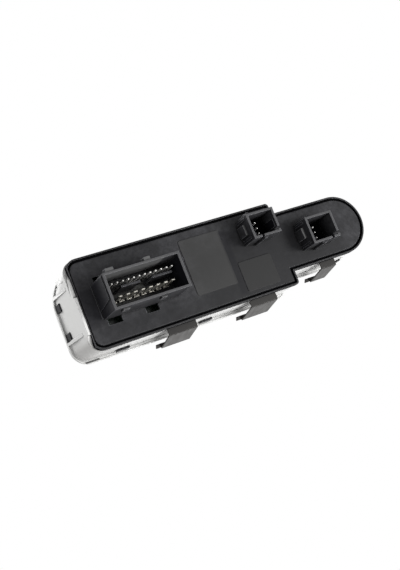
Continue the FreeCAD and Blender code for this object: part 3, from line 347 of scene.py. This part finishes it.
# Painted shade on the end of the clip side of the bezel, and a painted dark line near its flange,
# where a gap's shade falls
pale_patches = [((-76.0, 14.0, -3.0), (-62.0, 20.5, 12.0), 5.0, 0.5, CORNER_SHADE),
                ((-72.0, 18.3, 13.7), (-65.6, 18.9, 14.4), 0.25, 0.9, FLANGE_GAP_SHADE)]

# Painted shade on the shelves of the wide clips and of the narrow one
CLIP_SHELVES = (((-50.0, 15.0, -3.2), (60.0, 25.0, -2.3)),
                ((40.0, 9.0, -3.2), (60.0, 18.0, -2.3)))


# Materials of the pieces

pale = plastic("pale_shell", (0.70, 0.70, 0.69), 0.48, grain=0.10, edge=0.25, spread=0.03,
               specular=0.3, crevice_shade=0.6, patches=pale_patches)
cover = plastic("cover_black", (0.036, 0.036, 0.039), 0.46, grain=0.12, edge=0.35, spread=0.32,
                specular=COVER_SHEEN, mottle=0.7, rub_and_highlight=0.9, crevice_shade=0.9, flow_scale=110.0,
                highlight_gain=5.0, calm=PAD_ZONES,
                patches=plate_patches + shade_patches + side_patches + room_patches + painted_highlights)
inner_black = plastic("box_black", (0.020, 0.020, 0.021), 0.42, grain=0.08, edge=0.3,
                      spread=0.12, specular=COVER_SHEEN, rub_and_highlight=0.9, crevice_shade=0.9, highlight_gain=8.0,
                      patches=box_patches)
dull_zones(inner_black, (RIM_SIDE,), COVER_SHEEN)
dull_zones(cover, (*SMALL_ROOMS, (FAR_WALL_LOW, FAR_WALL_DULL_HIGH)), COVER_SHEEN)
key = plastic("key_black", (0.022, 0.022, 0.024), 0.36, grain=0.05, edge=0.2)
white = plastic("gimbal_white", (0.72, 0.72, 0.70), 0.35, edge=0.15, spread=0.03)
board = plastic("board_green", (0.005, 0.014, 0.008), 0.30, grain_scale=900.0, edge=0.05,
                coat=0.4)
mat_grey = plastic("mat_grey", (0.20, 0.205, 0.21), 0.72, grain=0.05, edge=0.2)
chip = plastic("chip_black", (0.015, 0.015, 0.017), 0.30, grain=0.05, edge=0.06)
lamp = plastic("lamp_white", (0.82, 0.82, 0.74), 0.25, edge=0.05, spread=0.03)
bars = plastic("light_bar_clear", (0.80, 0.83, 0.84), 0.08, edge=0.1, spread=0.02)
bars.node_tree.nodes["Principled BSDF"].inputs["Transmission Weight"].default_value = 0.9
tin = metal("pin_tin", (0.86, 0.85, 0.82), 0.22, metallic=0.6)
blade_tin = metal("blade_tin", (0.62, 0.60, 0.54), 0.30, metallic=0.5)
clip_steel = metal("clip_steel", (0.046, 0.044, 0.042), 0.50, scale=700.0, spread=0.16)
# Painted shade on the clip shelves
for low, high in CLIP_SHELVES:
    tint_zone(clip_steel, low, high, 0.2, 0.6, SHELF_SHADE)
zinc = metal("screw_steel", (0.62, 0.62, 0.63), 0.3, stretch=(1, 1, 1))
can = metal("can_aluminium", (0.75, 0.75, 0.76), 0.28)

dress(["bezel"], pale)
dress(["rear_cover"], cover)
dress(["mechanism_box"], inner_black)
dress(["circuit_board"], board)
dress(["contact_mat"], mat_grey)
dress(["signal_pins", "inner_socket_pins", "end_socket_pins"], tin)
dress(["power_blades"], blade_tin)
dress(["wide_clips", "narrow_clip"], clip_steel)
dress(["board_screws"], zinc)
dress(["main_chip", "driver_chips"], chip)
dress(["capacitors"], can)
dress(["lamps"], lamp)
dress(["light_bars"], bars)
dress(["rocker_rear_low", "rocker_rear_high", "rocker_front_low", "rocker_front_high",
       "lock_button", "fold_button", "selector_ring", "mirror_pad"], key)
dress(["gimbal"], white)


# Bezel with its two corner ribs drawn in to the rounded wall, in millimetres

# Leaning end wall: heights, straight line, lean, side line and corner radius at each height
WALL_LOW_Z = -2.9
WALL_HIGH_Z = 16.1
WALL_LEFT_X = -73.2
WALL_LEAN = 0.1389
WALL_SIDE_Y = -21.95
ROUND_LOW = 5.3
ROUND_HIGH = 15.8

# Edge of the flange, and the height of the bead behind it
FLANGE_X = -76.71
FLANGE_Y = -23.65
FLANGE_ROUND = 17.5
BEAD_Z = 13.7

# Where the two ribs are, and what they may stand off the wall without a move
CORNER_RIBS = ((-15.8, -15.0), (-12.8, -11.1))
RIB_X_HIGH = -70.0
RIB_Z_LOW = 0.0
RIB_Z_HIGH = 14.3
RIB_SLACK = 0.03


def corner_inset(y, side_y, radius):
    """How far the rounded corner lies inside the straight end line at y."""
    across = max(0.0, side_y + radius - y)
    return radius - math.sqrt(max(0.0, radius * radius - across * across))


def draw_in_ribs(mesh):
    for vert in mesh.vertices:
        x, y, z = (value / MM for value in vert.co)
        if not any(low < y < high for low, high in CORNER_RIBS):
            continue
        if x > RIB_X_HIGH or z < RIB_Z_LOW or z > RIB_Z_HIGH:
            continue
        part = (z - WALL_LOW_Z) / (WALL_HIGH_Z - WALL_LOW_Z)
        radius = ROUND_LOW + (ROUND_HIGH - ROUND_LOW) * part
        flat = WALL_LEFT_X - WALL_LEAN * (z - WALL_LOW_Z)
        inset = corner_inset(y, WALL_SIDE_Y, radius)
        flange = FLANGE_X + corner_inset(y, FLANGE_Y, FLANGE_ROUND)
        if x < flat + inset - RIB_SLACK and (z < BEAD_Z or x < flange - RIB_SLACK):
            vert.co.x = (x + inset) * MM


def make_bezel():
    mesh = nodes["bezel"].data.copy()
    draw_in_ribs(mesh)
    piece = bpy.data.objects.new("bezel_moulding", mesh)
    bpy.context.scene.collection.objects.link(piece)
    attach(piece, "housing")
    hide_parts("bezel")


make_bezel()


# Stage, lamps and camera, in metres

FLOOR_Z = -0.0221
FLOOR_HALF = 1.2
FLOOR_TONE = (0.86, 0.86, 0.85, 1)
FLOOR_ROUGH = 0.7
AMBIENT = 0.18

# Each lamp: name, direction from the object, distance, size and level
LAMPS = (("key_box", (0.55, 0.25, -0.80), 0.8, (0.26, 0.26), 0.75),
         ("low_box", (0.10, 0.80, -0.60), 0.8, (0.50, 0.40), 0.72),
         ("front_box", (-0.50, -0.62, 0.60), 0.9, (0.50, 0.50), 0.95),
         ("left_box", (-0.85, 0.10, -0.50), 0.9, (0.40, 0.40), 0.30),
         ("far_box", (0.30, -0.80, 0.45), 0.9, (0.50, 0.50), 0.30),
         ("top_box", (0.30, 0.40, 0.87), 1.0, (0.90, 0.90), 0.18))

# Camera fitted to the photo
SENSOR = 36.0
LENS = 55.81
CLIP_START = 0.01
CLIP_END = 20.0
CAMERA_PLACE = Vector((-181.04, 55.98, -349.21)) * MM
CAMERA_RIGHT = Vector((0.861052, 0.364144, -0.354949))
CAMERA_UP = Vector((0.278339, -0.921657, -0.270325))
CAMERA_BACK = Vector((-0.425578, 0.133968, -0.894950))


def make_floor():
    """Pale floor, seen from above only, so that it hides nothing from the rear camera."""
    mesh = bpy.data.meshes.new("floor")
    r = FLOOR_HALF
    corners = [(x, y, FLOOR_Z) for x, y in ((-r, -r), (r, -r), (r, r), (-r, r))]
    mesh.from_pydata(corners, [], [(0, 1, 2, 3)])
    floor = bpy.data.objects.new("floor", mesh)
    bpy.context.scene.collection.objects.link(floor)
    mat, tree, bsdf = new_material("floor_pale")
    bsdf.inputs["Base Color"].default_value = FLOOR_TONE
    bsdf.inputs["Roughness"].default_value = FLOOR_ROUGH
    clear = tree.nodes.new("ShaderNodeBsdfTransparent")
    side = tree.nodes.new("ShaderNodeNewGeometry")
    mix = tree.nodes.new("ShaderNodeMixShader")
    out = tree.nodes["Material Output"]
    tree.links.new(side.outputs["Backfacing"], mix.inputs["Fac"])
    tree.links.new(bsdf.outputs["BSDF"], mix.inputs[1])
    tree.links.new(clear.outputs["BSDF"], mix.inputs[2])
    tree.links.new(mix.outputs["Shader"], out.inputs["Surface"])
    mesh.materials.append(mat)
    floor.visible_diffuse = False
    floor.visible_glossy = False
    floor.visible_transmission = False
    floor.visible_shadow = False


def make_world():
    """White to the camera, in reflections and through clear pieces, dim as a light."""
    world = bpy.data.worlds.new("studio")
    bpy.context.scene.world = world
    world.use_nodes = True
    tree = world.node_tree
    back = tree.nodes["Background"]
    path = tree.nodes.new("ShaderNodeLightPath")
    seen = math_node(tree, "MAXIMUM", path.outputs["Is Camera Ray"],
                     path.outputs["Is Transmission Ray"])
    seen = math_node(tree, "MAXIMUM", seen, path.outputs["Is Glossy Ray"])
    tree.links.new(ramp(tree, seen, 0.0, 1.0, AMBIENT, 1.0), back.inputs["Strength"])
    back.inputs["Color"].default_value = (1, 1, 1, 1)


def area(name, toward, distance, size, level):
    """Soft box seen from the object in one direction, which lights a facing white at level."""
    place = Vector(toward).normalized() * distance
    data = bpy.data.lights.new(name, "AREA")
    data.shape = "RECTANGLE"
    data.size, data.size_y = size
    data.energy = level * (math.pi * distance) ** 2
    box = bpy.data.objects.new(name, data)
    bpy.context.scene.collection.objects.link(box)
    box.location = place
    box.rotation_euler = (-place).to_track_quat("-Z", "Y").to_euler()


def make_camera():
    data = bpy.data.cameras.new("camera")
    data.sensor_width = SENSOR
    data.sensor_height = SENSOR
    data.sensor_fit = "AUTO"
    data.lens = LENS
    data.clip_start = CLIP_START
    data.clip_end = CLIP_END
    data.dof.use_dof = False
    camera = bpy.data.objects.new("camera", data)
    bpy.context.scene.collection.objects.link(camera)
    axes = (CAMERA_RIGHT, CAMERA_UP, CAMERA_BACK, CAMERA_PLACE)
    rows = [tuple(axis[k] for axis in axes) for k in range(3)]
    camera.matrix_world = Matrix((*rows, (0, 0, 0, 1)))
    bpy.context.scene.camera = camera


make_floor()
make_world()
for lamp_values in LAMPS:
    area(*lamp_values)
make_camera()

bpy.context.scene.view_settings.view_transform = "Standard"
